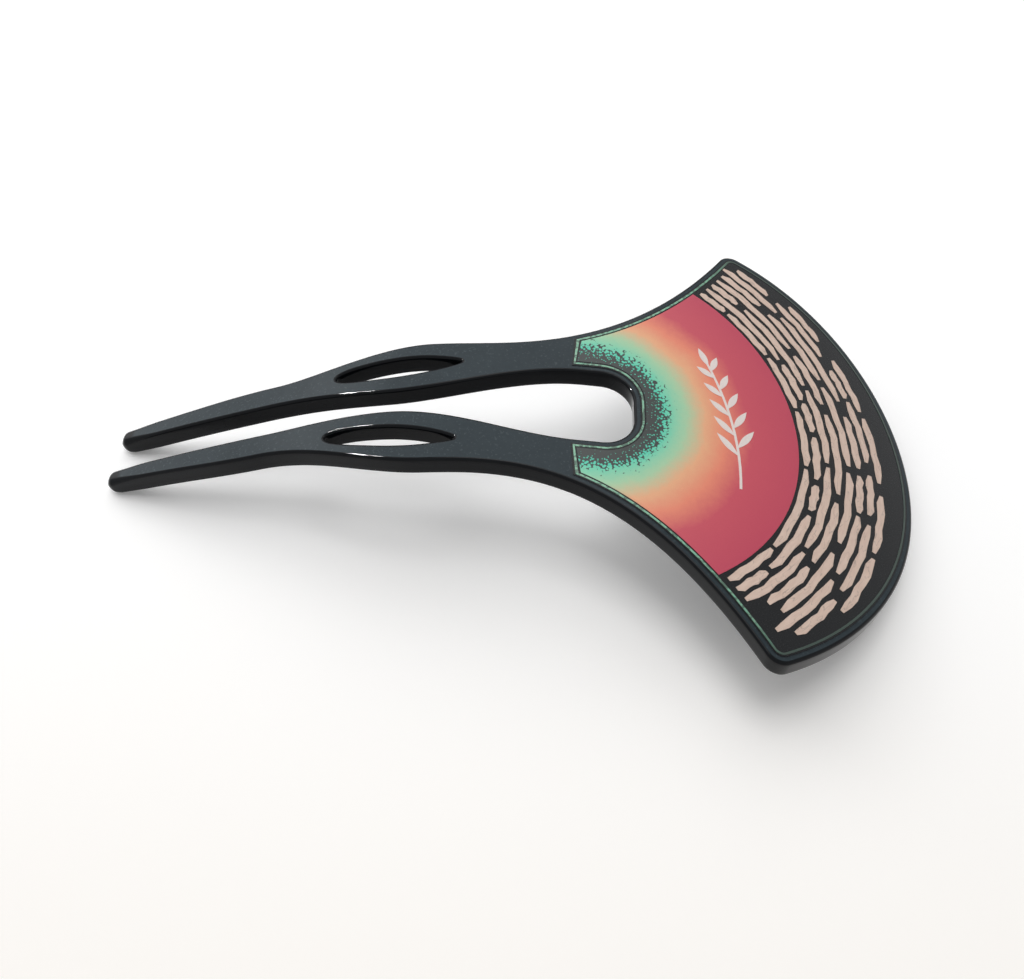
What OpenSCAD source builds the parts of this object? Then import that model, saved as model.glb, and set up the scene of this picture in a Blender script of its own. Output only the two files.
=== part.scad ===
// Two-pronged hair fork: one arched resin moulding with a wide head, and a printed film on its face.
// Millimetres. +X runs from the prong tips to the rim, +Y across the head, +Z up from the table.
// The origin is on the table, midway between tips and rim, on the fork's middle line.

/* [Overall] */
// Straight length from the prong tips to the rim
pin_length = 130; // [112:1:158]
// Width of the head across its two corners
head_width = 77.5; // [64:0.5:94]
// Thickness of the moulding
body_thick = 3.5; // [2.8:0.1:4.5]

/* [Arch, seen from the side] */
// Radius of the head's upper face
head_radius = 160; // [130:1:240]
// Radius of the bend at the waist of the prongs
bend_radius = 90; // [74:1:120]
// Radius of the nearly straight prongs
prong_radius = 520; // [400:5:900]
// Distance from the slot's closed end to the bend's end towards the tips
bend_front = 51.5; // [44:0.5:58]
// Distance from the slot's closed end to the bend's end towards the head
bend_rear = 21; // [18:0.5:26]

/* [Head] */
// Solid depth of the head between the slot and the rim
bridge = 44.5; // [36:0.5:54]
// Distance from the rim back to the line through the two corners
rim_depth = 26; // [21:0.5:31]
// Rounding of each corner, seen from above
corner_radius = 2.6; // [1.5:0.1:4]
// Steepness of each shoulder where it meets its corner, in degrees
flare_angle = 57; // [50:1:62]
// How far in front of the slot's end the shoulders start to spread
neck_setback = 27.5; // [24:0.5:31]

/* [Slot between the prongs] */
// Clear gap between the prongs at their tips
tip_gap = 5.6; // [4.6:0.1:6.8]
// Clear gap between the prongs along their shanks
shank_gap = 5.5; // [4.5:0.1:6.6]
// Narrowest clear gap between the prongs
waist_gap = 3.8; // [3.1:0.1:4.6]
// Clear width of the slot near its closed end
slot_gap = 13.2; // [11:0.1:15.9]
// Rounding of the two corners of the slot's closed end
slot_corner = 4.9; // [3.6:0.1:5.4]

/* [Prongs] */
// Width of a prong at its tip
tip_width = 2.8; // [2.2:0.1:3.4]
// Width of a prong along its shank
shank_width = 4.3; // [3.5:0.1:5.2]
// Width of a prong where its window pierces it
swell_width = 9.6; // [8.6:0.1:11.6]

/* [Windows in the prongs] */
// Length of each window
window_length = 19.8; // [16:0.1:24]
// Distance from the slot's closed end to the nearer end of a window
window_setback = 26.4; // [24:0.1:30]
// Wall outside the window, at the end towards the tips
outer_wall_front = 1.8; // [1.5:0.1:2.2]
// Wall outside the window, at the end towards the head
outer_wall_back = 3.5; // [2.9:0.1:3.9]
// Wall between the window and the slot, at the end towards the tips
inner_wall_front = 2.5; // [2:0.1:2.7]
// Wall between the window and the slot, at the end towards the head
inner_wall_back = 3.7; // [3:0.1:4]

/* [Printed film] */
// Thickness of the black film that carries the print
film_thick = 0.12; // [0.08:0.01:0.2]
// Thickness of each printed layer
ink_thick = 0.05; // [0.03:0.01:0.08]
// Bare edge left around the film
film_margin = 1; // [0.6:0.1:2]
// How far the film runs along the prongs past the slot's closed end
film_overrun = 10.4; // [6:0.1:16]
// Bare band between the film's edge and the colours
ink_margin = 0.8; // [0.6:0.1:1.4]
// Width of the pale line along the film's edge
line_width = 0.3; // [0.2:0.05:0.4]
// How far the fan of graded colours reaches past the slot's closed end
field_reach = 25.5; // [22:0.5:29]
// Gap between the fan and the first ring of copper strokes
ring_gap = 0.5; // [0.3:0.1:1]
// Spacing of the rings of copper strokes
ring_pitch = 1.75; // [1.6:0.05:2.4]
// Width of one copper stroke
stroke_width = 1.3; // [1:0.05:1.4]
// Length of the silver sprig's stem
sprig_length = 24; // [18:0.5:27]
// Length of the sprig's longest leaf
leaf_length = 5.5; // [4:0.5:6.5]
// Greatest width of a leaf
leaf_width = 1.1; // [0.8:0.1:1.6]

/* [Hidden] */

$fn = 96;
moulding_colour = [0.05, 0.06, 0.065];
film_colour = [0.02, 0.03, 0.03];
field_colour = [0.77, 0.35, 0.38];
copper_colour = [0.80, 0.70, 0.64];
silver_colour = [0.92, 0.88, 0.86];
line_colour = [0.70, 0.85, 0.78];

// Stations along the fork, all measured back from the rim
x_tip = -pin_length / 2;
x_rim = pin_length / 2;
x_slot = x_rim - bridge;
x_wide = x_slot - 8;
x_neck = x_slot - neck_setback;
x_swell = x_slot - 31;
x_waist = x_slot - 37;
x_shank = x_slot - 57;
x_bend_front = x_slot - bend_front;
x_bend_rear = x_slot - bend_rear;
window_back = x_slot - window_setback;
window_front = window_back - window_length;
x_film = x_slot - film_overrun;
neck_half = waist_gap / 2 + swell_width;

// A corner's own circle, and the rim's circle that touches it from outside
corner = [x_rim - rim_depth, head_width / 2 - corner_radius];
inner_sagitta = rim_depth - corner_radius;
rim_radius = (pow(corner.y, 2) + pow(inner_sagitta, 2)) / (2 * inner_sagitta) + corner_radius;
x_centre = x_rim - rim_radius;
rim_angle = atan2(corner.y, corner.x - x_centre);

// A shoulder climbs as a power of the distance, so that it meets its corner at flare_angle
flare_end = corner + corner_radius * [-sin(flare_angle), cos(flare_angle)];
flare_run = flare_end.x - x_neck;
flare_rise = flare_end.y - neck_half;
flare_power = tan(flare_angle) * flare_run / flare_rise;

// Seen from the side, the upper face is three arcs that run into each other: prongs, bend and head.
// These centres are [x, z], with z from the bend's own centre, for a bend centred at x = middle.
function bend_angle(x, middle) = asin((x - middle) / bend_radius);
function next_centre(middle, x, r) =
    let (a = bend_angle(x, middle)) [middle, 0] + (bend_radius - r) * [sin(a), cos(a)];
function prong_centre(middle) = next_centre(middle, x_bend_front, prong_radius);
function head_centre(middle) = next_centre(middle, x_bend_rear, head_radius);
function circle_height(r, x) = sqrt(max(0, r * r - x * x));
function height_at(centre, r, x) = centre.y + circle_height(r, x - centre.x);

// The tips end in a half-round nose. The bend is moved until nose and rim stand level on the table.
nose_radius = body_thick / 2;
nose_x = x_tip + nose_radius;
function nose_foot(middle) =
    height_at(prong_centre(middle), prong_radius - nose_radius, nose_x) - nose_radius;
function rim_foot(middle) = height_at(head_centre(middle), head_radius - body_thick, x_rim);
function level(middle, steps) =
    steps == 0 ? middle : level(middle + 0.9 * (nose_foot(middle) - rim_foot(middle)), steps - 1);
bend_x = level(x_slot - 24, 60);
table_shift = [0, -rim_foot(bend_x)];
bend_middle = [bend_x, 0] + table_shift;
prong_middle = prong_centre(bend_x) + table_shift;
head_middle = head_centre(bend_x) + table_shift;
nose_z = nose_foot(bend_x) + nose_radius + table_shift.y;
front_angle = bend_angle(x_bend_front, bend_x);
rear_angle = bend_angle(x_bend_rear, bend_x);
nose_angle = atan2(nose_x - prong_middle.x, nose_z - prong_middle.y);
past_rim_angle = 40;
crest_z = bend_middle.y + bend_radius;
film_top = head_radius + film_thick;
ink_top = film_top + ink_thick;
sprig_top = ink_top + ink_thick;

// ---- Curves seen from above ----

function ease(t) = t * t * (3 - 2 * t);
function clamp01(t) = max(0, min(1, t));
function step_between(a, b, x) = a.y + (b.y - a.y) * ease(clamp01((x - a.x) / (b.x - a.x)));
// Height at x of a smooth line through the stations, which are [x, height] from low x to high x
function eased(stations, x, i = 0) =
    i >= len(stations) - 2 || x <= stations[i + 1].x
        ? step_between(stations[i], stations[i + 1], x)
        : eased(stations, x, i + 1);

inner_stations = [
    [x_tip, tip_gap / 2], [x_shank, shank_gap / 2], [x_waist, waist_gap / 2], [x_wide, slot_gap / 2]
];
outer_stations = [
    [x_tip, tip_gap / 2 + tip_width], [x_shank, shank_gap / 2 + shank_width], [x_swell, neck_half]
];

function inner_y(x) = eased(inner_stations, x);
function flare_y(x) = neck_half + flare_rise * pow(max(0, x - x_neck) / flare_run, flare_power);
function flare_slope(x) =
    flare_power * flare_rise / flare_run * pow(max(0, x - x_neck) / flare_run, flare_power - 1);
function outer_y(x) = x < x_neck ? eased(outer_stations, x) : flare_y(x);

function arc(centre, r, from, to, steps) =
    [for (i = [0:steps]) let (a = from + (to - from) * i / steps) centre + r * [cos(a), sin(a)]];
function span(from, to, steps) = [for (i = [0:steps]) from + (to - from) * i / steps];
function mirrored(points) = [for (i = [len(points) - 1:-1:0]) [points[i].x, -points[i].y]];

// The slot's closed end, from the middle line round to the side, grown by `inset`
function slot_end(inset) =
    arc([x_slot - slot_corner, slot_gap / 2 - slot_corner], slot_corner + inset, 0, 90, 12);
// The shoulder from x to its corner, moved inwards by `inset`
function shoulder(from, inset) = [
    for (x = span(from, flare_end.x, 26))
        let (slope = flare_slope(x)) [x, outer_y(x)] + inset / sqrt(1 + slope * slope) * [slope, -1]
];
// The corner and the rim down to the middle line, moved inwards by `inset`
function rim(inset) = concat(
    arc(corner, corner_radius - inset, 90 + flare_angle - 6, rim_angle, 10),
    arc([x_centre, 0], rim_radius - inset, rim_angle - 2, 0, 28)
);

// Half of the moulding's outline, from the slot round one prong to the rim
tip_radius = tip_width / 2;
tip_end = x_tip + tip_radius;
half_outline = concat(
    slot_end(0),
    [for (x = span(x_wide, tip_end, 44)) [x, inner_y(x)]],
    arc([tip_end, tip_gap / 2 + tip_radius], tip_radius, 260, 100, 10),
    [for (x = span(tip_end, x_neck - 1, 34)) [x, outer_y(x)]],
    shoulder(x_neck, 0),
    rim(0)
);

// Half of the film's outline, from the slot round the shoulder to the rim
function half_film(inset) = concat(
    slot_end(inset),
    [for (x = span(x_wide, x_film + inset, 6)) [x, inner_y(x) + inset]],
    shoulder(x_film + inset, inset),
    rim(inset)
);

// A window: two walls, closed at both ends by a rounding factor
function window_point(t, side) =
    let (
        x = window_front + window_length * t,
        high = outer_y(x) - outer_wall_front - (outer_wall_back - outer_wall_front) * t,
        low = inner_y(x) + inner_wall_front + (inner_wall_back - inner_wall_front) * t,
        closing = sqrt(max(0, 1 - pow(abs(2 * t - 1), 6)))
    ) [x, (high + low) / 2 + side * closing * (high - low) / 2];
window_steps = 30;
window_outline = [
    for (i = [0:2 * window_steps - 1])
        window_point((1 - cos(180 * i / window_steps)) / 2, i < window_steps ? 1 : -1)
];

// ---- Building blocks ----

module prism(points) {
    translate([0, 0, -1])
        linear_extrude(crest_z + 3) polygon(points);
}

// A disc that stands on edge, with its axis along Y through centre, which is [x, z]
module disc(centre, r) {
    translate([centre.x, 0, centre.y])
        rotate([90, 0, 0]) cylinder(r = r, h = head_width + 10, center = true, $fn = 720);
}

// The slice between two angles from the vertical, seen along Y from centre
module slice(centre, reach, from, to) {
    spokes = [for (a = [from, (from + to) / 2, to]) centre + reach * [sin(a), cos(a)]];
    rotate([90, 0, 0])
        linear_extrude(head_width + 20, center = true) polygon(concat([centre], spokes));
}

// Everything below the face that lies `depth` under the fork's upper face. The discs of the head and
// the prongs would meet in an edge, which the bend rounds.
module below_face(depth) {
    difference() {
        intersection() {
            disc(head_middle, head_radius - depth);
            disc(prong_middle, prong_radius - depth);
        }
        difference() {
            slice(bend_middle, 1.5 * bend_radius, front_angle, rear_angle);
            disc(bend_middle, bend_radius - depth);
        }
    }
}

// A printed layer on the head, between two radii about the head's own centre
module head_layer(r_low, r_high) {
    difference() {
        disc(head_middle, r_high);
        disc(head_middle, r_low);
    }
}

// The film's outline, moved inwards, as a tall prism
module film_prism(inset) {
    prism(concat(half_film(inset), mirrored(half_film(inset))));
}

// The print is laid out as a fan about one point on the middle line, inside the slot's closed end
fan_middle = [x_slot - slot_gap / 2, 0];
fan_radius = slot_gap / 2 + field_reach;
function fan_point(r, bearing) = fan_middle + r * [cos(bearing), sin(bearing)];
module fan_disc(r) {
    translate([fan_middle.x, fan_middle.y, -1]) cylinder(r = r, h = crest_z + 3, $fn = 360);
}

// ---- Sub-parts ----

// The moulding: head, two prongs, the slot between them and a window in each prong
module fork_body() {
    color(moulding_colour)
        difference() {
            intersection() {
                union() {
                    intersection() {
                        difference() {
                            below_face(0);
                            below_face(body_thick);
                        }
                        slice(prong_middle, 1.5 * prong_radius, nose_angle, past_rim_angle);
                    }
                    nose();
                }
                prism(concat(half_outline, mirrored(half_outline)));
            }
            prism(window_outline);
            prism(mirrored(window_outline));
        }
}

// The half-round end of the tips, as a bar across both
module nose() {
    translate([nose_x, 0, nose_z])
        rotate([90, 0, 0]) cylinder(r = nose_radius, h = head_width, center = true);
}

// The black film laid on the head and the roots of the prongs
module backing_film() {
    color(film_colour)
        intersection() {
            head_layer(head_radius, film_top);
            film_prism(film_margin);
        }
}

// The graded colours: a fan that is level on both sides of the middle line
module colour_field() {
    color(field_colour)
        intersection() {
            head_layer(film_top, ink_top);
            film_prism(film_margin + ink_margin);
            fan_disc(fan_radius);
        }
}

// Repeatable scatter between 0 and 1 for row i, piece j
function scatter(i, j) = let (s = sin(i * 127.1 + j * 311.7) * 437.5) s - floor(s);

// Half width of the printed area at x, inside its bare border
stroke_inset = film_margin + ink_margin + 0.6;
function edge_y(x) = x < flare_end.x
    ? flare_y(x) - stroke_inset * sqrt(1 + pow(flare_slope(x), 2))
    : circle_height(rim_radius - stroke_inset, x - x_centre);

// Largest bearing at which a ring is still inside the border, found by halving
widest_bearing = 80;
function ring_end(r, low = 0, high = widest_bearing, turns = 16) =
    let (middle = (low + high) / 2, p = fan_point(r, middle))
    turns == 0 ? low
        : p.y < edge_y(p.x) ? ring_end(r, middle, high, turns - 1)
        : ring_end(r, low, middle, turns - 1);

// Half length of a ring of strokes, along its arc
function ring_reach(r) =
    min(ring_end(r - stroke_width / 2), ring_end(r + stroke_width / 2)) * PI * r / 180;

// Pieces [high end, low end] of one ring, broken by gaps that widen towards the rim
function pieces(ring, high, stop, bareness, j = 0) =
    let (
        low = max(stop, high - 5 - 13 * scatter(ring, j)),
        gap = 0.7 + 3.5 * bareness * scatter(ring, j + 50)
    )
    high - stop < 3 ? []
        : concat(high - low > 1.5 ? [[high, low]] : [], pieces(ring, low - gap, stop, bareness, j + 1));

// One stroke: a bar bent round its ring, with blunt ends and a slight waver
side_points = 8;
function stroke(r, high, low, ring) = [
    for (k = [0:2 * side_points - 1])
        let (
            side = k < side_points ? 1 : -1,
            t = (k < side_points ? k : 2 * side_points - 1 - k) / (side_points - 1),
            half = stroke_width / 2 * (t == 0 || t == 1 ? 0.45 : 0.8 + 0.2 * scatter(ring + side, k)),
            waver = 0.12 * sin(900 * t + 70 * ring)
        ) fan_point(r + side * half + waver, (high + (low - high) * t) * 180 / (PI * r))
];

module copper_strokes() {
    first = fan_radius + ring_gap + stroke_width / 2;
    rim_border = stroke_inset + 2;
    rings = floor((x_rim - rim_border - fan_middle.x - first) / ring_pitch);
    color(copper_colour)
        intersection() {
            head_layer(film_top, ink_top);
            union() {
                for (ring = [0:rings]) {
                    r = first + ring * ring_pitch;
                    for (piece = pieces(ring, ring_reach(r), -ring_reach(r), ring / rings))
                        prism(stroke(r, piece[0], piece[1], ring));
                }
            }
        }
}

// The sprig lies across the fan, centred on the middle line, and leans back as it rises
stem_start = [x_slot + 0.6 * field_reach, -sprig_length / 2];
function stem_at(t) = stem_start + sprig_length * t * [cos(84 + 14 * t), sin(84 + 14 * t)];
function stem_heading(t) = 84 + 28 * t;
leaf_angle = 38;
leaf_pairs = 5;
stem_half = 0.2;

// A lens-shaped leaf that starts at a point and runs along a heading
module leaf(at, heading, length) {
    steps = 8;
    lens = [
        for (k = [0:2 * steps - 1])
            let (t = (k <= steps ? k : 2 * steps - k) / steps, side = k <= steps ? 1 : -1)
            let (along = length * t, across = side * leaf_width / 2 * sin(180 * t))
            at + [along * cos(heading) - across * sin(heading), along * sin(heading) + across * cos(heading)]
    ];
    prism(lens);
}

module silver_sprig() {
    stem = [for (t = span(0, 1, 12)) stem_at(t)];
    color(silver_colour)
        intersection() {
            head_layer(ink_top, sprig_top);
            union() {
                prism(concat(
                    [for (p = stem) p - [stem_half, 0]],
                    [for (i = [len(stem) - 1:-1:0]) stem[i] + [stem_half, 0]]
                ));
                for (k = [0:leaf_pairs - 1]) {
                    t = 0.25 + 0.62 * k / (leaf_pairs - 1);
                    size = leaf_length * (1 - 0.45 * t);
                    leaf(stem_at(t), stem_heading(t) + leaf_angle, size);
                    leaf(stem_at(t + 0.06), stem_heading(t) - leaf_angle, size);
                }
                leaf(stem_at(0.97), stem_heading(1), leaf_length * 0.7);
            }
        }
}

// The pale line printed just inside the film's edge
module edge_line() {
    line_inset = film_margin + (ink_margin - line_width) / 2;
    color(line_colour)
        intersection() {
            head_layer(film_top, ink_top);
            difference() {
                film_prism(line_inset);
                film_prism(line_inset + line_width);
            }
        }
}

fork_body();
backing_film();
colour_field();
copper_strokes();
silver_sprig();
edge_line();
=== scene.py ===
# %% [markdown]
# # A two-pronged hair fork with a printed head
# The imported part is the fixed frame: one black resin moulding, a thin film and four printed layers.
# The printed layers already have the right shape, so they keep it and get a finish here. The
# moulding has sharp edges in the frame, and its soft, polished edges are what make it look moulded,
# so it is built again with every edge rounded.

# %% Load the frame
import math

import bmesh
import bpy
import numpy as np
from mathutils import Matrix


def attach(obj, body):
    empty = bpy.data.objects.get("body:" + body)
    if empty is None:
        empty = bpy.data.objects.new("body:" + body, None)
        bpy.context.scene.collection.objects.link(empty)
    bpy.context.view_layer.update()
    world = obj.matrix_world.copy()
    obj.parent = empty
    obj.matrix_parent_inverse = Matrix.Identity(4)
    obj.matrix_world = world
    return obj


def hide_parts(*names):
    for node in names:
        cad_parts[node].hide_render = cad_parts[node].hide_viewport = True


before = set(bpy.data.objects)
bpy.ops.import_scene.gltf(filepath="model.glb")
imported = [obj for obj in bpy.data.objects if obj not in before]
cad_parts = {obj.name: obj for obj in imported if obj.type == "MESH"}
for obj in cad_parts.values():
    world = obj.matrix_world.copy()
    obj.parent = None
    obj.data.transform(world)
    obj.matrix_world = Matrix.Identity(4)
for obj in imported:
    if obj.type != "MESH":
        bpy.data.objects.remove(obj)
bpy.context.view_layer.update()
MM = 0.001
print("nodes:", sorted(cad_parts))

# %% [markdown]
# ## The camera
# It comes first, because all that follows is judged through it. It stands in front of the near
# prong, looks down steeply and is rolled a little. A camera looks along its own -Z, so its turning
# matrix has the picture's right, the picture's up and the way back as its three columns. A Track To
# constraint could aim it as well, but a matrix also holds the roll.

# %% Camera
CAMERA_AT = np.array([9.096, -91.307, 126.537]) * MM
CAMERA_DOWN, CAMERA_TURN, CAMERA_ROLL = np.radians([54.878, -4.663, -2.454])
SENSOR_WIDTH, LENS = 36.0, 32.98
CLIP_NEAR, CLIP_FAR = 0.005, 20.0


def camera_axes(down, turn, roll):
    """Right, up and back. Forward is (sin turn cos down, cos turn cos down, -sin down)."""
    forward = np.array([math.sin(turn) * math.cos(down), math.cos(turn) * math.cos(down),
                        -math.sin(down)])
    level = np.cross(forward, [0.0, 0.0, 1.0])
    level /= np.linalg.norm(level)
    upright = np.cross(level, forward)
    right = math.cos(roll) * level + math.sin(roll) * upright
    return right, np.cross(right, forward), -forward


camera_data = bpy.data.cameras.new("camera")
camera_data.sensor_width, camera_data.lens = SENSOR_WIDTH, LENS
camera_data.clip_start, camera_data.clip_end = CLIP_NEAR, CLIP_FAR
camera = bpy.data.objects.new("camera", camera_data)
bpy.context.scene.collection.objects.link(camera)
placed = np.eye(4)
placed[:3, :3] = np.array(camera_axes(CAMERA_DOWN, CAMERA_TURN, CAMERA_ROLL)).T
placed[:3, 3] = CAMERA_AT
camera.matrix_world = Matrix(placed.tolist())
bpy.context.scene.camera = camera
print("camera at", CAMERA_AT.round(4))

# %% [markdown]
# ## The fork's curves
# Seen from above, each edge of a prong is a smooth line through a few stations, and the shoulder
# climbs as a power of the distance. These are the part's own sizes in millimetres, so the new
# moulding lies exactly where the frame's does.

# %% Sizes in millimetres
LENGTH, WIDTH, THICK = 130.0, 77.5, 3.5
HEAD_R, BEND_R, PRONG_R = 160.0, 90.0, 520.0
TIP_GAP, SHANK_GAP, WAIST_GAP, SLOT_GAP, SLOT_CORNER = 5.6, 5.5, 3.8, 13.2, 4.9
TIP_WIDTH, SHANK_WIDTH, SWELL_WIDTH = 2.8, 4.3, 9.6
CORNER_R, FLARE_ANGLE, RIM_DEPTH = 2.6, math.radians(57), 26.0
RIM_TO_SLOT = 44.5
# Distances from the slot's closed end to the stations in front of it.
TO_WIDE, TO_NECK, TO_SWELL, TO_WAIST, TO_SHANK = 8, 27.5, 31, 37, 57
TO_BEND_FRONT, TO_BEND_REAR, TO_WINDOW = 51.5, 21, 26.4
X_TIP, X_RIM = -LENGTH / 2, LENGTH / 2
X_SLOT = X_RIM - RIM_TO_SLOT
X_WIDE, X_NECK, X_SWELL = X_SLOT - TO_WIDE, X_SLOT - TO_NECK, X_SLOT - TO_SWELL
X_WAIST, X_SHANK = X_SLOT - TO_WAIST, X_SLOT - TO_SHANK
X_BEND_FRONT, X_BEND_REAR = X_SLOT - TO_BEND_FRONT, X_SLOT - TO_BEND_REAR
WINDOW_LENGTH, WINDOW_BACK = 19.8, X_SLOT - TO_WINDOW
WINDOW_FRONT = WINDOW_BACK - WINDOW_LENGTH
NECK_HALF = WAIST_GAP / 2 + SWELL_WIDTH
CORNER = np.array([X_RIM - RIM_DEPTH, WIDTH / 2 - CORNER_R])
SAGITTA = RIM_DEPTH - CORNER_R
RIM_R = (CORNER[1] ** 2 + SAGITTA**2) / (2 * SAGITTA) + CORNER_R
RIM_X = X_RIM - RIM_R
RIM_ANGLE = math.atan2(CORNER[1], CORNER[0] - RIM_X)
FLARE_END = CORNER + CORNER_R * np.array([-math.sin(FLARE_ANGLE), math.cos(FLARE_ANGLE)])
FLARE_RUN, FLARE_RISE = FLARE_END[0] - X_NECK, FLARE_END[1] - NECK_HALF
FLARE_POWER = math.tan(FLARE_ANGLE) * FLARE_RUN / FLARE_RISE
print("rim radius", round(RIM_R, 2), "flare power", round(FLARE_POWER, 3))


# %% Edges of a prong, seen from above
def ease(t):
    """t squared times (3 - 2t): starts and stops level."""
    t = np.clip(t, 0, 1)
    return t * t * (3 - 2 * t)


def through(stations, x):
    """A smooth line through stations of (x, y): each step between two of them is eased."""
    y = np.full_like(x, stations[0][1])
    for (xa, ya), (xb, yb) in zip(stations[:-1], stations[1:]):
        y = np.where(x >= xa, ya + (yb - ya) * ease((x - xa) / (xb - xa)), y)
    return y


def inner_edge(x):
    """The edge beside the slot."""
    return through([(X_TIP, TIP_GAP / 2), (X_SHANK, SHANK_GAP / 2), (X_WAIST, WAIST_GAP / 2),
                    (X_WIDE, SLOT_GAP / 2)], x)


def outer_edge(x):
    """The outer edge: eased to the neck, then neck + rise * (distance / run) ** power."""
    prong = through([(X_TIP, TIP_GAP / 2 + TIP_WIDTH), (X_SHANK, SHANK_GAP / 2 + SHANK_WIDTH),
                     (X_SWELL, NECK_HALF)], x)
    shoulder = NECK_HALF + FLARE_RISE * (np.maximum(0, x - X_NECK) / FLARE_RUN) ** FLARE_POWER
    return np.where(x < X_NECK, prong, shoulder)


print("prong width at the shank:", round(float(outer_edge(np.array([X_SHANK]))[0]
                                              - inner_edge(np.array([X_SHANK]))[0]), 2), "mm")

# %% [markdown]
# ## The arch
# From the side the upper face is three arcs that run into each other: nearly straight prongs, a
# tighter bend, and the head. Two arcs touch smoothly when their centres and the meeting point lie
# on one line. The lower face has the same centres and smaller radii, and the tips end in a half
# round nose. The bend is moved along until nose and rim both stand on the table, at z = 0.

# %% Heights of the upper and lower face
NOSE_R = THICK / 2
NOSE_X = X_TIP + NOSE_R
FIRST_GUESS, ROUNDS, STEP_SHARE = 24, 60, 0.9


def arc_centre(middle, x, radius):
    """Centre of the arc that touches the bend at x: the bend's centre, along the shared radius."""
    a = math.asin((x - middle) / BEND_R)
    return np.array([middle + (BEND_R - radius) * math.sin(a), (BEND_R - radius) * math.cos(a)])


def feet(middle):
    """Heights of the nose's and the rim's lowest points, and the two arcs' centres."""
    prong = arc_centre(middle, X_BEND_FRONT, PRONG_R)
    head = arc_centre(middle, X_BEND_REAR, HEAD_R)
    nose = prong[1] + math.sqrt((PRONG_R - NOSE_R) ** 2 - (NOSE_X - prong[0]) ** 2) - NOSE_R
    rim = head[1] + math.sqrt((HEAD_R - THICK) ** 2 - (X_RIM - head[0]) ** 2)
    return nose, rim, prong, head


bend_x = X_SLOT - FIRST_GUESS
for _ in range(ROUNDS):
    nose_foot, rim_foot, prong_centre, head_centre = feet(bend_x)
    bend_x += STEP_SHARE * (nose_foot - rim_foot)
nose_foot, rim_foot, prong_centre, head_centre = feet(bend_x)
TABLE = np.array([0, -rim_foot])
PRONG_C, HEAD_C, BEND_C = prong_centre + TABLE, head_centre + TABLE, np.array([bend_x, 0]) + TABLE
NOSE_Z = nose_foot + NOSE_R + TABLE[1]
NOSE_TURN = math.atan2(NOSE_X - PRONG_C[0], NOSE_Z - PRONG_C[1])


def arch(x, depth):
    """Height of the face depth below the top: centre z + root(radius^2 - (x - centre x)^2)."""
    def on(centre, radius):
        return centre[1] + np.sqrt(np.maximum(0, (radius - depth) ** 2 - (x - centre[0]) ** 2))
    front = bend_x + (BEND_R - depth) * (X_BEND_FRONT - bend_x) / BEND_R
    rear = bend_x + (BEND_R - depth) * (X_BEND_REAR - bend_x) / BEND_R
    behind = np.where(x < rear, on(BEND_C, BEND_R), on(HEAD_C, HEAD_R))
    return np.where(x < front, on(PRONG_C, PRONG_R), behind)


def face_height(x, side):
    """Upper face (side 1) or lower face (side -1), with the half-round nose in front."""
    nose = NOSE_Z + side * np.sqrt(np.maximum(0, NOSE_R**2 - (x - NOSE_X) ** 2))
    touch = NOSE_X + side * NOSE_R * math.sin(NOSE_TURN)
    return np.where(x < touch, nose, arch(x, 0 if side > 0 else THICK))


crest = float(face_height(np.array([bend_x]), 1)[0])
print("crest", round(crest, 2), "mm, bend at x =", round(bend_x, 3))

# %% [markdown]
# ## The outline as one closed loop
# The half outline starts on the middle line at the slot, runs down the inner edge to the tip, and
# comes back along the outer edge, the shoulder, the corner and the rim. Both edges have the same
# number of points, so that a point of one can be joined to a point of the other by a straight rib,
# and the ribs make the two faces. One many-sided face would be quicker, but can't follow the arch.

# %% Half outline
EDGE_R = 0.5
TIP_R = TIP_WIDTH / 2
TIP_C = np.array([X_TIP + TIP_R, TIP_GAP / 2 + TIP_R])
TIP_STEPS, PRONG_STEPS, WINDOW_STEPS = 12, 44, 60
NECK_STEPS, SHOULDER_STEPS, CORNER_STEPS, RIM_STEPS = 36, 56, 14, 60
RIB_START = 12.0  # from here the ribs fan out from the slot to the shoulder, corner and rim
SHOULDER_MARK, CORNER_MARK = 7.0, 7.6  # where along the slot those of the corner begin and end


def circle(centre, radius, start, stop, steps):
    """Points of an arc: centre + radius (cos a, sin a), without the first one."""
    a = np.linspace(start, stop, steps + 1)[1:]
    return np.stack([centre[0] + radius * np.cos(a), centre[1] + radius * np.sin(a)], 1)


def edge_points(edge, x):
    """Points (x, edge(x))."""
    return np.stack([x, edge(x)], 1)


def slot_path(distance):
    """Along the slot from RIB_START: a straight run, a quarter circle, then the flat closed end."""
    run, quarter = X_SLOT - SLOT_CORNER - RIB_START, SLOT_CORNER * math.pi / 2
    a = np.clip((distance - run) / SLOT_CORNER, 0, math.pi / 2)
    x = RIB_START + np.minimum(distance, run) + SLOT_CORNER * np.sin(a)
    y = SLOT_GAP / 2 - SLOT_CORNER * (1 - np.cos(a)) - np.maximum(0, distance - run - quarter)
    return np.stack([x, y], 1)


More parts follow.
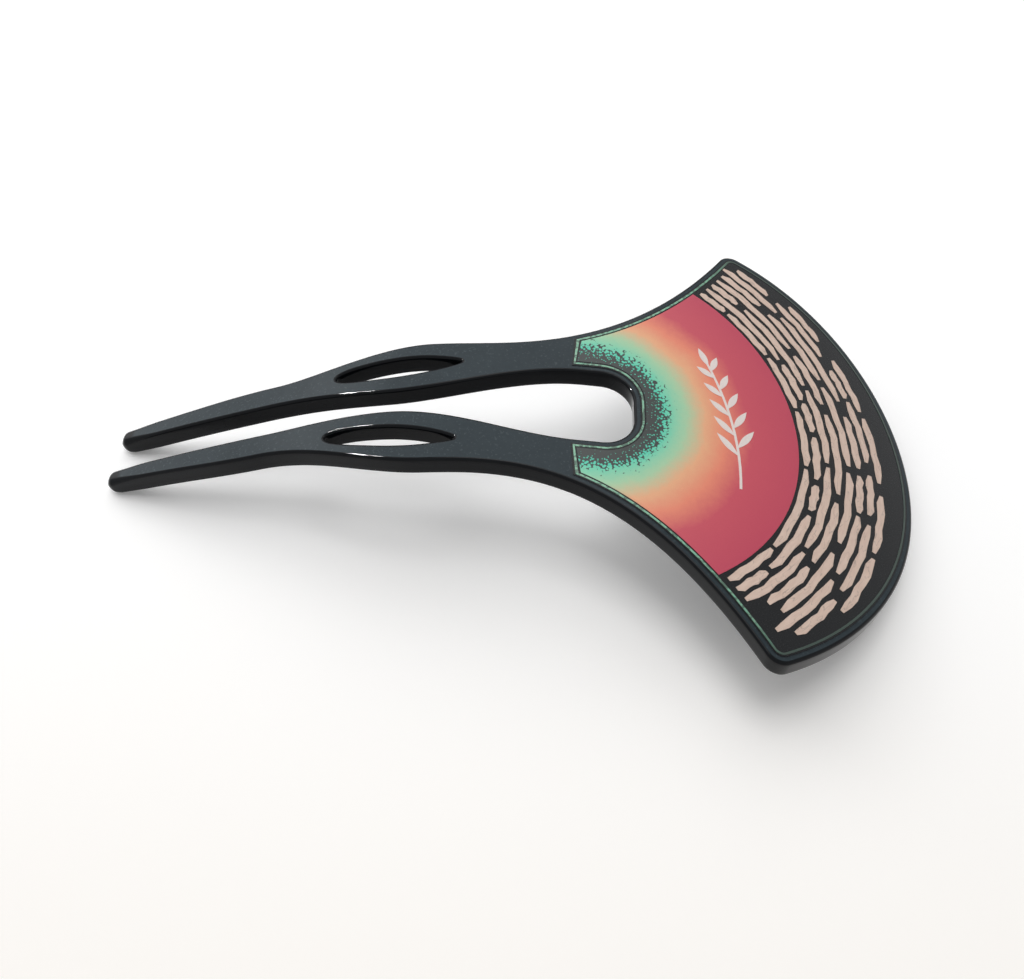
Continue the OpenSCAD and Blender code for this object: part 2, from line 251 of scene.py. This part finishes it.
cosine = (1 - np.cos(np.linspace(0, math.pi, WINDOW_STEPS + 1))) / 2
along = np.concatenate([
    np.linspace(X_TIP + TIP_R, WINDOW_FRONT - EDGE_R, PRONG_STEPS + 1)[1:],
    WINDOW_FRONT - EDGE_R + (WINDOW_LENGTH + 2 * EDGE_R) * cosine[1:],
    np.linspace(WINDOW_BACK + EDGE_R, RIB_START, NECK_STEPS + 1)[1:],
])
slot_total = (X_SLOT - SLOT_CORNER - RIB_START + SLOT_CORNER * math.pi / 2
              + SLOT_GAP / 2 - SLOT_CORNER)
slot_marks = np.concatenate([
    np.linspace(0, SHOULDER_MARK, SHOULDER_STEPS + 1)[1:],
    np.linspace(SHOULDER_MARK, CORNER_MARK, CORNER_STEPS + 1)[1:],
    np.linspace(CORNER_MARK, slot_total, RIM_STEPS + 1)[1:],
])
tip_point = np.array([[X_TIP, TIP_C[1]]])
inner_line = np.concatenate([
    tip_point, circle(TIP_C, TIP_R, math.pi, 1.5 * math.pi, TIP_STEPS),
    edge_points(inner_edge, along), slot_path(slot_marks),
])
outer_line = np.concatenate([
    tip_point, circle(TIP_C, TIP_R, math.pi, 0.5 * math.pi, TIP_STEPS),
    edge_points(outer_edge, along),
    edge_points(outer_edge, np.linspace(RIB_START, FLARE_END[0], SHOULDER_STEPS + 1)[1:]),
    circle(CORNER, CORNER_R, math.pi / 2 + FLARE_ANGLE, RIM_ANGLE, CORNER_STEPS),
    circle([RIM_X, 0], RIM_R, RIM_ANGLE, 0, RIM_STEPS),
])
half = np.concatenate([inner_line[::-1], outer_line[1:]])
print("ribs:", len(inner_line), "outline points:", len(half))

# %% [markdown]
# ## The rounded edges
# A moulding leaves its tool with every edge rounded, and the edges are where polish shows first. A
# Bevel modifier could round them, but the frame's mesh is long loose triangles that it would tear.
# Here one profile, with a quarter circle at its top and bottom, is carried round a loop instead.


# %% Inward directions and the edge's profile
TIP_EDGE_GROWTH, TIP_EDGE_RUN = 0.6, 8


def inward(loop):
    """Unit normals to the left of a closed loop, from the mean of each point's two directions."""
    step = np.roll(loop, -1, 0) - loop
    step /= np.maximum(np.linalg.norm(step, axis=1, keepdims=True), 1e-9)
    mean = step + np.roll(step, 1, 0)
    mean /= np.linalg.norm(mean, axis=1, keepdims=True)
    return np.stack([-mean[:, 1], mean[:, 0]], 1)


def edge_radius(x):
    """The edge's radius: EDGE_R, growing towards the tips, which are worn round like a bullet."""
    return EDGE_R + TIP_EDGE_GROWTH * ease((X_TIP + TIP_EDGE_RUN - x) / TIP_EDGE_RUN)


FLAT_ROW, ROUND_STEPS, WALL_STEPS = 0.15, 7, 4
quarter = np.linspace(0, math.pi / 2, ROUND_STEPS + 1)


def rounded_wall(points, normals):
    """A wall round a loop, as a grid of loop by profile, in x, y, z.

    The profile starts on the upper face and turns down a quarter circle, which is
    (r (1 - sin a), r (1 - cos a)). Then it runs down the wall and turns under in the same way.
    Where the moulding is thinner than two radii, the circle is squeezed to half its height.
    """
    r = edge_radius(points[:, 0])[:, None]
    inset = np.concatenate([r + FLAT_ROW, r * (1 - np.sin(quarter))], 1)
    drop = np.concatenate([0 * r, r * (1 - np.cos(quarter))], 1)
    rows = []
    for side in (1, -1):
        xy = points[:, None, :] + inset[:, :, None] * normals[:, None, :]
        high, low = face_height(xy[..., 0], 1), face_height(xy[..., 0], -1)
        squeeze = np.minimum(1, (high - low) / (2 * r))
        z = (high if side > 0 else low) - side * drop * squeeze
        rows.append(np.concatenate([xy, z[..., None]], 2))
    upper, lower = rows[0], rows[1][:, ::-1]
    t = np.linspace(0, 1, WALL_STEPS + 1)[1:-1, None]
    wall = upper[:, -1:, :] * (1 - t) + lower[:, :1, :] * t
    return np.concatenate([upper, wall, lower], 1)


whole = np.concatenate([half, (half * [1, -1])[-2:0:-1]])
half_normals = inward(whole)[: len(half)]
if np.dot(half_normals[-1], [-1, 0]) < 0:
    half_normals = -half_normals
outline_wall = rounded_wall(half, half_normals)
print("outline wall grid:", outline_wall.shape)

# %% [markdown]
# ## The windows
# Each prong is pierced by a long window. Its two sides follow the prong's edges at the width of a
# wall, and a rounding factor closes both ends. The same rounded wall runs round it. A boolean cut
# would leave slivers along the opening, which catch the light on a polished face.

# %% Window loop
OUTER_WALL, OUTER_GROWTH, INNER_WALL, INNER_GROWTH = 1.8, 1.7, 2.5, 1.2
END_ROUNDING = 6


def window_side(t, side):
    """Middle of the window, plus or minus its half width times (1 - |2t - 1|^6) ** 0.5."""
    x = WINDOW_FRONT + WINDOW_LENGTH * t
    high = outer_edge(x) - (OUTER_WALL + OUTER_GROWTH * t)
    low = inner_edge(x) + (INNER_WALL + INNER_GROWTH * t)
    closing = np.sqrt(np.maximum(0, 1 - np.abs(2 * t - 1) ** END_ROUNDING))
    return np.stack([x, (high + low) / 2 + side * closing * (high - low) / 2], 1)


window = np.concatenate([window_side(cosine, -1), window_side(cosine, 1)[-2:0:-1]])
window_normals = inward(window)
if np.dot(window_normals[0], [-1, 0]) < 0:
    window_normals = -window_normals
window_wall = rounded_wall(window, window_normals)
print("window wall grid:", window_wall.shape)

# %% [markdown]
# ## The two faces
# A rib joins the inner edge to the outer one. Where there is a window, the rib is broken and each
# half stops at the window's edge; elsewhere both halves meet on a line between the edges. The same
# ribs, at the other height, make the lower face. One half of the fork is then mirrored, the shared
# points are merged, and the normals of the closed shell are turned outwards.

# %% Ribs
RIB_STEPS, RIB_BLEND = 12, 8
ribs = len(inner_line)
first_window = TIP_STEPS + PRONG_STEPS
last_window = first_window + WINDOW_STEPS


def face_grids(row):
    """Two grids of ribs by steps, straight from edge to middle line, lifted on to the arch."""
    inner = outline_wall[:ribs, row][::-1]
    outer = outline_wall[ribs - 1:, row]
    low, high = (inner + outer)[:, :2] / 2, (inner + outer)[:, :2] / 2
    loop = window_wall[:, row, :2]
    near, far = loop[0], loop[WINDOW_STEPS]
    i = np.arange(ribs)
    ends = ((first_window, near, i <= first_window), (last_window, far, i >= last_window))
    for end, target, beyond in ends:
        shift = (target - low[end]) * (1 - ease(np.abs(i - end) / RIB_BLEND))[:, None]
        low = np.where(beyond[:, None], low + shift, low)
        high = np.where(beyond[:, None], high + shift, high)
    low[first_window:last_window + 1] = loop[: WINDOW_STEPS + 1]
    high[first_window:last_window + 1] = np.concatenate([loop[:1], loop[:WINDOW_STEPS - 1:-1]])
    side = 1 if row == 0 else -1
    grids = []
    for a, b in ((inner[:, :2], low), (high, outer[:, :2])):
        t = np.linspace(0, 1, RIB_STEPS + 1)[None, :, None]
        xy = a[:, None] * (1 - t) + b[:, None] * t
        grids.append(np.concatenate([xy, face_height(xy[..., 0], side)[..., None]], 2))
    return grids


def grid_faces(rows, columns, start, closed=False):
    """Quads between neighbours of a grid whose points are numbered row by row."""
    i, j = np.meshgrid(np.arange(rows if closed else rows - 1), np.arange(columns - 1),
                       indexing="ij")
    here, ahead = i * columns + j, (i + 1) % rows * columns + j
    return start + np.stack([here, ahead, ahead + 1, here + 1], -1).reshape(-1, 4)


grids = [(g, False) for g in face_grids(0) + face_grids(-1)]
grids += [(outline_wall, False), (window_wall, True)]
points, faces, count = [], [], 0
for mirror in (1, -1):
    for grid, closed in grids:
        points.append((grid * [1, mirror, 1]).reshape(-1, 3))
        faces.append(grid_faces(grid.shape[0], grid.shape[1], count, closed))
        count += grid.shape[0] * grid.shape[1]
points, faces = np.concatenate(points) * MM, np.concatenate(faces)
print("points", len(points), "quads", len(faces))

# %% [markdown]
# ## The moulding
# The grids become one closed shell. Its shading normals could be left to Blender, but a mean over
# unequal faces shows as specks on polish, so the two faces get the arch's own normals.


# %% Moulding mesh
MERGE = 2e-6
ON_FACE, SLOPE_NUDGE, BEHIND_NOSE = 5e-5, 0.01, 1


def shell(name, points, faces, merge):
    """A closed, smooth mesh: doubles merged, flat leftovers dissolved, faces turned outwards."""
    mesh = bpy.data.meshes.new(name)
    mesh.from_pydata(points.tolist(), [], faces.tolist())
    work = bmesh.new()
    work.from_mesh(mesh)
    bmesh.ops.remove_doubles(work, verts=work.verts, dist=merge)
    bmesh.ops.dissolve_degenerate(work, edges=work.edges, dist=merge / 2)
    bmesh.ops.recalc_face_normals(work, faces=work.faces)
    for face in work.faces:
        face.smooth = True
    open_edges = sum(not edge.is_manifold for edge in work.edges)
    work.to_mesh(mesh)
    volume = work.calc_volume() * 1e9
    work.free()
    piece = bpy.data.objects.new(name, mesh)
    bpy.context.scene.collection.objects.link(piece)
    print(name, "faces", len(mesh.polygons), "open edges", open_edges,
          "volume", round(volume, 1), "mm3")
    return piece


def smooth_arch(piece):
    """Gives every point of the two faces the arch's own normal, (-slope, 0, 1) made a unit long.

    The same points carry a face attribute of 1, because these faces lose some of their polish and
    their resin is painted lighter there, a painted sheen.
    """
    mesh = piece.data
    numbers = len(mesh.vertices) * 3
    place, normal = np.empty(numbers), np.empty(numbers)
    mesh.vertices.foreach_get("co", place)
    mesh.vertex_normals.foreach_get("vector", normal)
    place, normal = place.reshape(-1, 3) / MM, normal.reshape(-1, 3)
    x = place[:, 0]
    haze_and_painted_sheen = np.zeros(len(place))
    for side in (1, -1):
        height_error = np.abs(place[:, 2] - face_height(x, side))
        on_face = (height_error < ON_FACE) & (x > NOSE_X + BEHIND_NOSE)
        ahead, back = face_height(x + SLOPE_NUDGE, side), face_height(x - SLOPE_NUDGE, side)
        slope = (ahead - back) / (2 * SLOPE_NUDGE)
        exact = np.stack([-slope, 0 * x, 0 * x + 1], 1) * side
        exact /= np.linalg.norm(exact, axis=1, keepdims=True)
        normal = np.where(on_face[:, None], exact, normal)
        haze_and_painted_sheen = np.where(on_face, 1.0, haze_and_painted_sheen)
        print("points on face", side, int(on_face.sum()))
    mesh.normals_split_custom_set_from_vertices(normal.tolist())
    mesh.attributes.new("haze_and_painted_sheen", "FLOAT", "POINT").data.foreach_set("value", haze_and_painted_sheen)


moulding = shell("moulding", points, faces, MERGE)
smooth_arch(moulding)
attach(moulding, "root")
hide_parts("fork_body")

# %% [markdown]
# ## Writing shader maths as Python
# A material is a small programme made of nodes. A class that wraps one socket lets it be written
# as an expression: adding two of them adds a Math node. Every other node comes from one method. The
# same tree could be drawn by hand, but an expression says at a glance what it works out.

# %% Shader helper
def srgb(*rgb):
    """A screen colour of 0 to 255 as the linear colour that a shader works in."""
    c = np.array(rgb) / 255
    return (*np.where(c <= 0.04045, c / 12.92, ((c + 0.055) / 1.055) ** 2.4).tolist(), 1.0)


class Amount:
    """A number that may change over a surface."""

    def __init__(self, finish, socket):
        self.finish, self.socket = finish, socket

    def math(self, operation, *values):
        """A Math node on the values, in the order given."""
        sockets = dict(enumerate(values))
        made = self.finish.node("ShaderNodeMath", {"operation": operation}, sockets)
        return Amount(self.finish, made.outputs[0])

    def __add__(self, other): return self.math("ADD", self, other)
    def __radd__(self, other): return self.math("ADD", other, self)
    def __sub__(self, other): return self.math("SUBTRACT", self, other)
    def __rsub__(self, other): return self.math("SUBTRACT", other, self)
    def __mul__(self, other): return self.math("MULTIPLY", self, other)
    def __rmul__(self, other): return self.math("MULTIPLY", other, self)
    def __pow__(self, other): return self.math("POWER", self, other)
    def __abs__(self): return self.math("ABSOLUTE", self)

    def between(self, low, high):
        """0 below low, 1 above high, eased between."""
        made = self.finish.node("ShaderNodeMapRange", {"interpolation_type": "SMOOTHSTEP"},
                                {"Value": self, "From Min": low, "From Max": high})
        return Amount(self.finish, made.outputs[0])


class Finish:
    """One material with a Principled shader. Its patterns read Object coordinates in mm."""

    def __init__(self, name, **constants):
        self.material = bpy.data.materials.new(name)
        self.material.use_nodes = True
        self.tree = self.material.node_tree
        self.shader = self.tree.nodes["Principled BSDF"]
        for socket, value in constants.items():
            self.shader.inputs[socket.replace("_", " ")].default_value = value
        place = self.node("ShaderNodeTexCoord").outputs["Object"]
        scaled = self.node("ShaderNodeVectorMath", {"operation": "SCALE"},
                           {0: place, "Scale": 1000.0})
        self.place = scaled.outputs[0]

    def node(self, kind, settings=None, sockets=None):
        """Any node: its settings first, then a value or a link for each socket."""
        made = self.tree.nodes.new(kind)
        for key, value in (settings or {}).items():
            setattr(made, key, value)
        for key, value in (sockets or {}).items():
            value = value.socket if isinstance(value, Amount) else value
            if isinstance(value, bpy.types.NodeSocket):
                self.tree.links.new(value, made.inputs[key])
            else:
                made.inputs[key].default_value = value
        return made

    def noise(self, scale, detail=2.0, place=None):
        made = self.node("ShaderNodeTexNoise", {},
                         {"Vector": place or self.place, "Scale": scale, "Detail": detail})
        return Amount(self, made.outputs[0])

    def flecks(self, scale):
        made = self.node("ShaderNodeTexVoronoi", {}, {"Vector": self.place, "Scale": scale})
        return Amount(self, made.outputs["Distance"])

    def axes(self):
        split = self.node("ShaderNodeSeparateXYZ", {}, {0: self.place})
        return [Amount(self, split.outputs[i]) for i in range(3)]

    def mix(self, factor, a, b):
        """Colour a where the factor is 0 and colour b where it is 1."""
        made = self.node("ShaderNodeMix", {"data_type": "RGBA"}, {0: factor, 6: a, 7: b})
        return made.outputs[2]

    def ramp(self, amount, stops):
        made = self.node("ShaderNodeValToRGB", {}, {0: amount})
        elements = made.color_ramp.elements
        while len(elements) < len(stops):
            elements.new(0.5)
        for element, (position, colour) in zip(elements, stops):
            element.position, element.color = position, colour
        return made.outputs[0]

    def feed(self, **links):
        for name, value in links.items():
            value = value.socket if isinstance(value, Amount) else value
            self.tree.links.new(value, self.shader.inputs[name.replace("_", " ")])

    def bump(self, height, depth_mm, strength=1.0):
        made = self.node("ShaderNodeBump", {},
                         {"Height": height, "Distance": depth_mm * MM, "Strength": strength})
        self.feed(Normal=made.outputs[0])


print("shader helper ready")

# %% [markdown]
# ## Black resin
# The moulding is polished black resin. It is almost black by itself, and what is seen is mostly the
# room reflected in it. The walls keep their full polish. The two faces are touched every day and
# carry a fine haze, which is a higher roughness, with a little dust in it. Their resin colour is also
# painted lighter and grey-green, a painted sheen for the reflection on them. The mesh's face
# attribute switches both on.

# %% Resin
resin = Finish("black_resin", IOR=1.46, Specular_IOR_Level=0.11)
cloud, haze, grain = resin.noise(0.16, 3.0), resin.noise(0.9, 4.0), resin.noise(9.0, 2.0)
dust = resin.noise(2.6, 3.0).between(0.58, 0.70)
attribute = resin.node("ShaderNodeAttribute", {"attribute_name": "haze_and_painted_sheen"})
haze_and_painted_sheen = Amount(resin, attribute.outputs["Fac"])
wall_black = resin.mix(cloud, srgb(8, 10, 13), srgb(20, 23, 27))
# Lighter grey-green resin for the faces: painted sheen, standing in for the room's reflection on
# them.
face_painted_sheen = resin.mix(0.6 * cloud + 0.4 * haze, srgb(38, 47, 52), srgb(55, 65, 70))
face_painted_sheen = resin.mix(0.12 * dust, face_painted_sheen, srgb(120, 132, 136))
resin.feed(
    # On the faces the base colour takes the painted sheen. The roughness rise is the real haze.
    Base_Color=resin.mix(haze_and_painted_sheen, wall_black, face_painted_sheen),
    Roughness=0.04 + 0.03 * cloud + 0.02 * haze + 0.08 * haze_and_painted_sheen,
)
resin.bump(haze * 0.6 + grain * 0.4, 0.003, 0.3)
moulding.data.materials.append(resin.material)
print("resin on", moulding.name)

# %% [markdown]
# ## The print
# The design is a fan about one point inside the slot's closed end, so its colours depend on the
# distance from that point. Near the slot the ink is only flecks on black. Further out it closes up
# and runs from teal through pale green and peach to crimson. Paper-like grain breaks every ink. An
# image could carry it all, but sums of distance and noise stay sharp however close the view.

# %% Fan of graded ink
FIELD_REACH, FAN_START = 25.5, 7.0
FAN_X, FAN_R = X_SLOT - SLOT_GAP / 2, SLOT_GAP / 2 + FIELD_REACH


def fan_distance(finish):
    """Distance in millimetres from the fan's point, ((x - FAN_X)^2 + y^2) ** 0.5."""
    x, y, _ = finish.axes()
    return ((x - FAN_X) * (x - FAN_X) + y * y) ** 0.5


graded = Finish("graded_ink", IOR=1.45)
reach = (fan_distance(graded) + 2.4 * (graded.noise(0.13, 3.0) - 0.5)
         + 1.0 * (graded.noise(1.2, 3.0) - 0.5))
share = (reach - FAN_START) * (1 / (FAN_R - FAN_START))
hues = graded.ramp(share, [
    (0.00, srgb(40, 150, 128)), (0.16, srgb(75, 205, 175)), (0.30, srgb(165, 205, 165)),
    (0.42, srgb(232, 172, 130)), (0.55, srgb(232, 136, 108)), (0.70, srgb(198, 74, 90)),
    (1.00, srgb(188, 62, 86)),
])
cover = 0.12 + 1.1 * reach.between(8.0, 16.0)
fleck = (cover - graded.flecks(2.4)).between(-0.06, 0.06)
speckled = graded.mix(fleck, srgb(14, 30, 27), hues)
paper = graded.noise(6.0, 3.0)
graded.feed(
    Base_Color=graded.mix(0.10 * paper, speckled, srgb(70, 30, 36)),
    Roughness=0.36 + 0.14 * paper,
)
graded.bump(paper, 0.004, 0.4)
print("fan radius", round(FAN_R, 2), "mm")

# %% [markdown]
# ## The other inks and the film
# The copper strokes are streaked along the rings they lie on, so their noise is read in polar
# coordinates about the fan's point. Plain noise would be simpler, but has no direction. The pale
# line is worn in places and fades towards the rim. The film is a smooth black with a little sheen.

# %% Copper strokes
POLAR_STRETCH = 9.0
copper = Finish("copper_ink", IOR=1.45)
x, y, _ = copper.axes()
ring = fan_distance(copper)
turn = y.math("ARCTAN2", y, x - FAN_X)
polar = copper.node("ShaderNodeCombineXYZ", {},
                    {0: ring, 1: turn * POLAR_STRETCH, 2: 0.0}).outputs[0]
streak, grain = copper.noise(2.2, 4.0, polar), copper.noise(5.0, 3.0)
crack = 1 - abs(copper.noise(0.9, 2.0, polar) - 0.5).between(0.002, 0.012)
tan_ink = copper.mix(streak, srgb(226, 203, 188), srgb(196, 168, 152))
copper.feed(
    Base_Color=copper.mix(crack * 0.3, tan_ink, srgb(30, 30, 30)),
    Roughness=0.38 + 0.16 * grain,
)
print("copper streaks follow rings about x =", round(FAN_X, 2), "mm")

# %% Silver sprig, pale line and film
silver = Finish("silver_ink", IOR=1.45)
grain = silver.noise(7.0, 3.0)
silver.feed(
    Base_Color=silver.mix(grain, srgb(240, 232, 228), srgb(212, 196, 190)),
    Roughness=0.34 + 0.14 * grain,
)

pale = Finish("pale_ink", IOR=1.45)
x, _, _ = pale.axes()
grain = pale.noise(3.0, 3.0)
line_ink = pale.mix(grain, srgb(80, 170, 145), srgb(160, 190, 160))
worn = 0.7 * pale.noise(1.6, 2.0).between(0.44, 0.58)
FADE_FROM, FADE_TO = 33.0, 39.5
faded = worn.math("MAXIMUM", worn, 0.92 * x.between(FADE_FROM, FADE_TO))
pale.feed(
    Base_Color=pale.mix(faded, line_ink, srgb(26, 30, 30)),
    Roughness=0.30 + 0.14 * grain,
)

film = Finish("black_film", IOR=1.5, Specular_IOR_Level=0.2)
grain = film.noise(5.0, 3.0)
film.feed(
    Base_Color=film.mix(grain, srgb(12, 13, 15), srgb(25, 27, 29)),
    Roughness=0.20 + 0.12 * grain,
)

INKS = {"backing_film": film, "colour_field": graded, "copper_strokes": copper,
        "silver_sprig": silver, "edge_line": pale}
for name, finish in INKS.items():
    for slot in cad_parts[name].material_slots:
        slot.material = finish.material
print("inks on", list(INKS))

# %% [markdown]
# ## Table and light
# A pale table, an even sky and five lamps. The sky and the three large lamps light everything to a
# plain level. The two small lamps high on the left show only in gloss, as the short bright dashes
# of a polished rounded edge. They could light everything too, but their shadows would be hard. To
# the camera and in reflections the table glows a little, and more far away, and the sky is white,
# so that the background is white and the table still takes the fork's shadow.

# %% Floor
TABLE_HALF, TABLE_GLOW = 3.0, 0.17
FAR_FROM, FAR_TO = 150.0, 700.0  # millimetres from the fork over which the glow grows
floor_mesh = bpy.data.meshes.new("table_top")
corners = [(TABLE_HALF * i, TABLE_HALF * j, 0) for i, j in ((-1, -1), (1, -1), (1, 1), (-1, 1))]
floor_mesh.from_pydata(corners, [], [(0, 1, 2, 3)])
floor = bpy.data.objects.new("table_top", floor_mesh)
bpy.context.scene.collection.objects.link(floor)
table = Finish("table_top", Roughness=0.9, Specular_IOR_Level=0.0)
x, y, _ = table.axes()
far = ((x * x + y * y) ** 0.5).between(FAR_FROM, FAR_TO)
rays = table.node("ShaderNodeLightPath")
by_camera = Amount(table, rays.outputs["Is Camera Ray"])
by_gloss = Amount(table, rays.outputs["Is Glossy Ray"])
table.feed(
    # The table is painted a little darker and warmer towards the camera, below y = -100 mm: painted
    # shade.
    Base_Color=table.mix(y.between(-100.0, 10.0), (0.92, 0.885, 0.84, 1), (0.95, 0.95, 0.95, 1)),
    Emission_Color=table.mix(far, (1.0, 0.99, 0.98, 1), (5.0, 5.0, 5.0, 1)),
    Emission_Strength=by_camera.math("MAXIMUM", by_camera, by_gloss) * TABLE_GLOW,
)
floor_mesh.materials.append(table.material)
print("table", 2 * TABLE_HALF, "m across")


# %% Lamps and sky
def lamp(name, place, aim, width, height, watts, gloss_only=False):
    """An area lamp that looks from place to aim. A gloss_only one shows in gloss and no more."""
    data = bpy.data.lights.new(name, "AREA")
    data.shape, data.size, data.size_y, data.energy = "RECTANGLE", width, height, watts
    made = bpy.data.objects.new(name, data)
    bpy.context.scene.collection.objects.link(made)
    made.visible_diffuse = not gloss_only
    back = np.array(place) - np.array(aim)
    back = back / np.linalg.norm(back)
    right = np.cross([0, 0, 1.0], back)
    right /= np.linalg.norm(right)
    turned = np.eye(4)
    turned[:3, :3] = np.array([right, np.cross(back, right), back]).T
    turned[:3, 3] = place
    made.matrix_world = Matrix(turned.tolist())


lamp("soft_window", (-0.15, 0.45, 0.62), (0.0, 0.0, 0.0), 1.0, 0.7, 3.5)
lamp("left_window", (-0.60, 0.46, 0.34), (0.0, 0.0, 0.01), 0.7, 0.5, 1.3)
lamp("ceiling", (0.03, 0.06, 0.75), (0.0, 0.0, 0.0), 0.35, 0.35, 1.7)
lamp("edge_window", (-0.375, 0.11, 0.485), (-0.022, -0.01, 0.017), 0.045, 0.045, 9.0,
     gloss_only=True)
lamp("edge_window_two", (-0.33, 0.11, 0.516), (-0.016, -0.01, 0.019), 0.035, 0.03, 2.5,
     gloss_only=True)

# %% Sky
SKY_LIGHT, SKY_SEEN = 0.24, 1.0  # its strength as light, and as the camera and gloss see it
sky = bpy.data.worlds.new("sky")
bpy.context.scene.world = sky
sky.use_nodes = True
tree = sky.node_tree
background, rays = tree.nodes["Background"], tree.nodes.new("ShaderNodeLightPath")
either, strength = tree.nodes.new("ShaderNodeMath"), tree.nodes.new("ShaderNodeMapRange")
either.operation = "MAXIMUM"
tree.links.new(rays.outputs["Is Camera Ray"], either.inputs[0])
tree.links.new(rays.outputs["Is Glossy Ray"], either.inputs[1])
tree.links.new(either.outputs[0], strength.inputs["Value"])
strength.inputs["To Min"].default_value = SKY_LIGHT
strength.inputs["To Max"].default_value = SKY_SEEN
tree.links.new(strength.outputs[0], background.inputs["Strength"])
background.inputs["Color"].default_value = (0.985, 0.99, 1.0, 1)
bpy.context.scene.view_settings.view_transform = "Standard"
print("sky lights at", SKY_LIGHT, "and shows at", SKY_SEEN)
